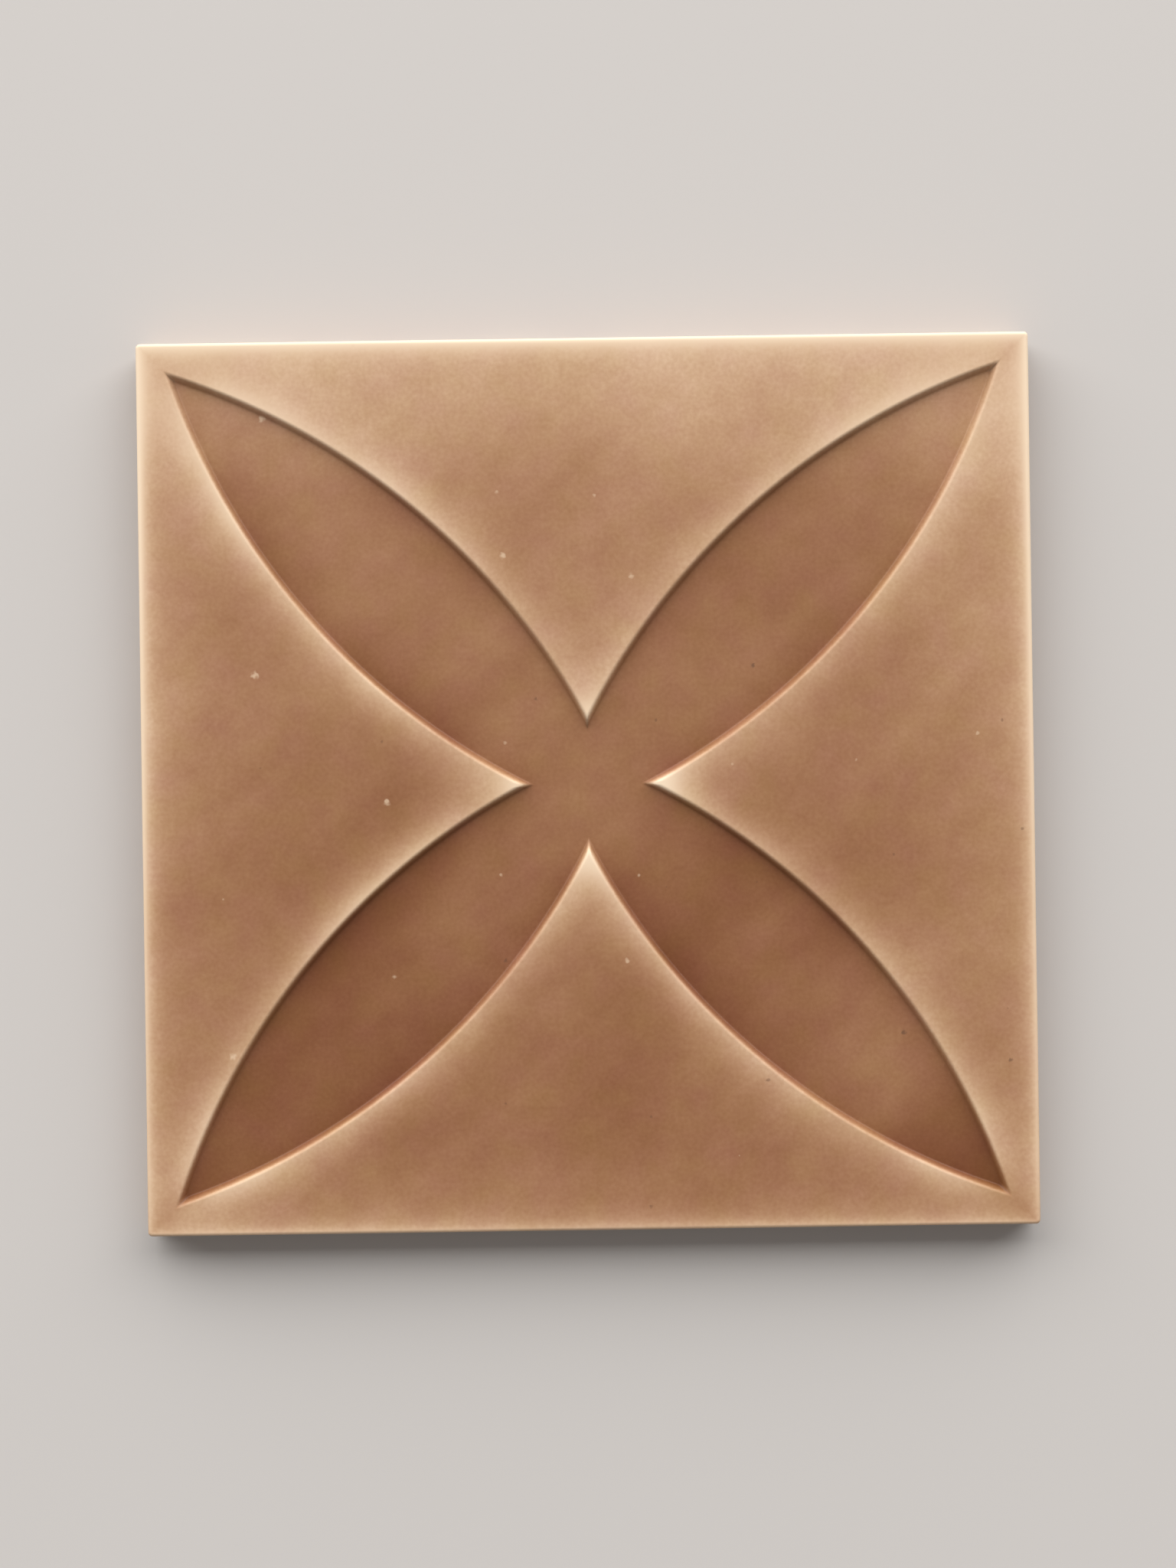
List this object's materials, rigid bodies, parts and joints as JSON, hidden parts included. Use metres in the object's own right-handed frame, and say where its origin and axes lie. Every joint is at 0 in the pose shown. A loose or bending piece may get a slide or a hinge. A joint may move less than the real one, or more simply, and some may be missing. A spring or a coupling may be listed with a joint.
{
  "type": "relief glazed wall tile",
  "caption": "Square ceramic wall tile, glazed, with a sunken petal relief between smooth raised fields and a plain flat back.",
  "frame": {"origin": "middle of the flat back, which lies on the floor", "axes": "+Z out of the glazed face, +X and +Y along the tile's edges"},
  "size_m": [0.15, 0.15, 0.009],
  "materials": {
    "tinted_glaze": "see-through caramel pink glaze with a soft gloss over pale cream clay: cream where it thins on edges, brown where it pools"
  },
  "bodies": {
    "root": {"relief_tile": "tinted_glaze"}
  },
  "joints": []
}
